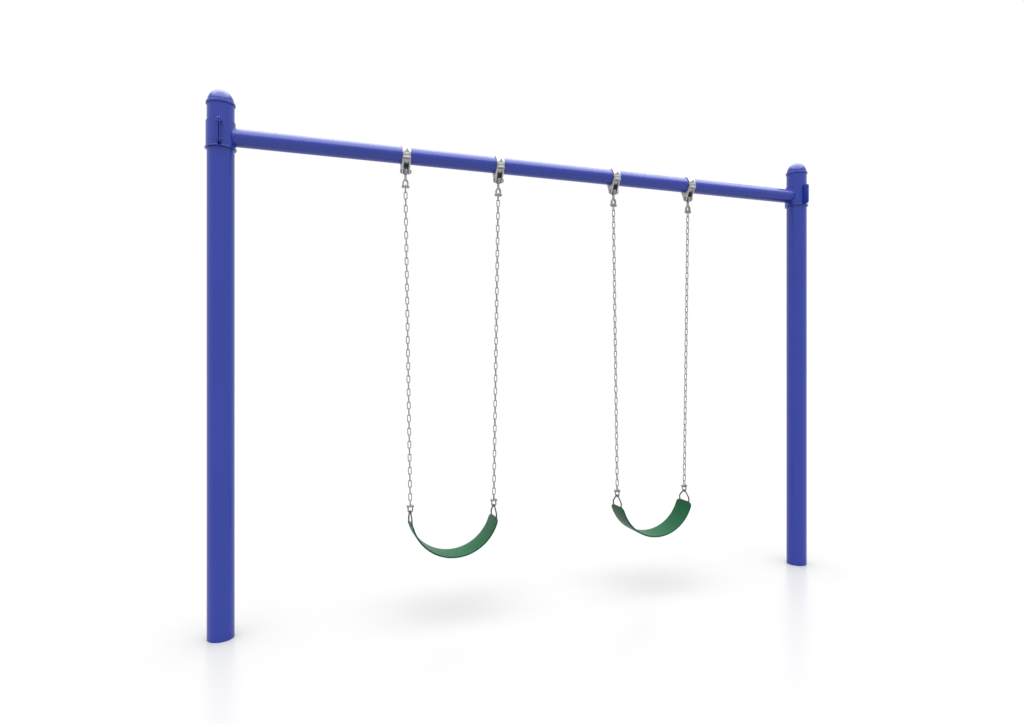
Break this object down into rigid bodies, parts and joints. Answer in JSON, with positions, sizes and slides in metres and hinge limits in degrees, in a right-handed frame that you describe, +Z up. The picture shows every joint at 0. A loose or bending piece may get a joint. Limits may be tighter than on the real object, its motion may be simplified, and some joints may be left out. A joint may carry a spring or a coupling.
{
  "type": "swing set",
  "caption": "Playground swing frame with two domed round posts, a clamped tubular crossbeam, pivoting hangers, link chains and curved rubber belt seats.",
  "frame": {"origin": "on the ground, midway between the two posts", "axes": "+X along the crossbeam from the left post to the right post, -Y front, +Z up"},
  "size_m": [3.7272, 0.206, 2.723],
  "materials": {
    "blue_powder_coat": "smooth gloss powder coat",
    "black_rubber": "moulded rubber, matte",
    "hanger_casting": "hot-dip galvanised, matte",
    "galvanised_steel": "galvanised",
    "bearing": "moulded nylon, black",
    "chain_steel": "galvanised",
    "fastener_steel": "zinc plated",
    "dark_steel": "dark coated rod",
    "green_rubber": "moulded rubber, fine matte"
  },
  "bodies": {
    "frame": {"crossbeam": "blue_powder_coat", "left_post": "blue_powder_coat", "left_post_cap": "blue_powder_coat", "left_support_ring": "blue_powder_coat", "left_collar_inner": "blue_powder_coat", "left_collar_outer": "blue_powder_coat", "right_post": "blue_powder_coat", "right_post_cap": "blue_powder_coat", "right_support_ring": "blue_powder_coat", "right_collar_inner": "blue_powder_coat", "right_collar_outer": "blue_powder_coat", "collar_bolts": "blue_powder_coat", "collar_nuts": "blue_powder_coat", "hanger_1_cap": "hanger_casting", "hanger_1_yoke": "hanger_casting", "hanger_1_pad": "black_rubber", "hanger_2_cap": "hanger_casting", "hanger_2_yoke": "hanger_casting", "hanger_2_pad": "black_rubber", "hanger_3_cap": "hanger_casting", "hanger_3_yoke": "hanger_casting", "hanger_3_pad": "black_rubber", "hanger_4_cap": "hanger_casting", "hanger_4_yoke": "hanger_casting", "hanger_4_pad": "black_rubber", "clamp_bolts": "fastener_steel", "clamp_nuts": "fastener_steel", "pivot_bolts": "fastener_steel", "pivot_nuts": "fastener_steel"},
    "pendulum_1": {"pendulum_1": "galvanised_steel", "pendulum_1_bushing": "bearing", "pendulum_1_bolt": "fastener_steel", "pendulum_1_nut": "fastener_steel"},
    "chain_1": {"chain_1": "chain_steel"},
    "pendulum_2": {"pendulum_2": "galvanised_steel", "pendulum_2_bushing": "bearing", "pendulum_2_bolt": "fastener_steel", "pendulum_2_nut": "fastener_steel"},
    "chain_2": {"chain_2": "chain_steel"},
    "left_shackles": {"left_shackles": "galvanised_steel", "left_shackle_bolts": "fastener_steel", "left_shackle_nuts": "fastener_steel"},
    "left_seat": {"left_seat_rings": "dark_steel", "left_belt_seat": "green_rubber"},
    "pendulum_3": {"pendulum_3": "galvanised_steel", "pendulum_3_bushing": "bearing", "pendulum_3_bolt": "fastener_steel", "pendulum_3_nut": "fastener_steel"},
    "chain_3": {"chain_3": "chain_steel"},
    "pendulum_4": {"pendulum_4": "galvanised_steel", "pendulum_4_bushing": "bearing", "pendulum_4_bolt": "fastener_steel", "pendulum_4_nut": "fastener_steel"},
    "chain_4": {"chain_4": "chain_steel"},
    "right_shackles": {"right_shackles": "galvanised_steel", "right_shackle_bolts": "fastener_steel", "right_shackle_nuts": "fastener_steel"},
    "right_seat": {"right_seat_rings": "dark_steel", "right_belt_seat": "green_rubber"}
  },
  "joints": [
    {"name": "left_swing", "type": "hinge", "parent": "frame", "child": "pendulum_1", "pos_m": [-0.872, 0, 2.411], "axis": [1, 0, 0], "range_deg": [-60, 60]},
    {"name": "left_swing_follower", "type": "hinge", "parent": "frame", "child": "pendulum_2", "pos_m": [-0.342, 0, 2.411], "axis": [1, 0, 0], "range_deg": [-60, 60]},
    {"name": "left_sway", "type": "hinge", "parent": "pendulum_1", "child": "chain_1", "pos_m": [-0.872, 0, 2.328], "axis": [0, 1, 0], "range_deg": [-10, 10]},
    {"name": "left_sway_follower", "type": "hinge", "parent": "pendulum_2", "child": "chain_2", "pos_m": [-0.342, 0, 2.328], "axis": [0, 1, 0], "range_deg": [-10, 10]},
    {"name": "left_shackle_follower", "type": "hinge", "parent": "chain_1", "child": "left_shackles", "pos_m": [-0.8455, 0, 0.5855], "axis": [0, 1, 0], "range_deg": [-11.2, 11.2]},
    {"name": "left_seat_pitch", "type": "hinge", "parent": "left_shackles", "child": "left_seat", "pos_m": [-0.607, 0, 0.55], "axis": [1, 0, 0], "range_deg": [-40, 40]},
    {"name": "right_swing", "type": "hinge", "parent": "frame", "child": "pendulum_3", "pos_m": [0.3944, 0, 2.411], "axis": [1, 0, 0], "range_deg": [-60, 60]},
    {"name": "right_swing_follower", "type": "hinge", "parent": "frame", "child": "pendulum_4", "pos_m": [0.9244, 0, 2.411], "axis": [1, 0, 0], "range_deg": [-60, 60]},
    {"name": "right_sway", "type": "hinge", "parent": "pendulum_3", "child": "chain_3", "pos_m": [0.3944, 0, 2.328], "axis": [0, 1, 0], "range_deg": [-10, 10]},
    {"name": "right_sway_follower", "type": "hinge", "parent": "pendulum_4", "child": "chain_4", "pos_m": [0.9244, 0, 2.328], "axis": [0, 1, 0], "range_deg": [-10, 10]},
    {"name": "right_shackle_follower", "type": "hinge", "parent": "chain_3", "child": "right_shackles", "pos_m": [0.4209, 0, 0.5855], "axis": [0, 1, 0], "range_deg": [-11.2, 11.2]},
    {"name": "right_seat_pitch", "type": "hinge", "parent": "right_shackles", "child": "right_seat", "pos_m": [0.6594, 0, 0.55], "axis": [1, 0, 0], "range_deg": [-40, 40]}
  ],
  "couplings": [
    {"joint": "left_swing_follower", "follows": "left_swing", "ratio": 1},
    {"joint": "left_sway_follower", "follows": "left_sway", "ratio": 1},
    {"joint": "left_shackle_follower", "follows": "left_sway", "ratio": -1.1111},
    {"joint": "right_swing_follower", "follows": "right_swing", "ratio": 1},
    {"joint": "right_sway_follower", "follows": "right_sway", "ratio": 1},
    {"joint": "right_shackle_follower", "follows": "right_sway", "ratio": -1.1111}
  ]
}
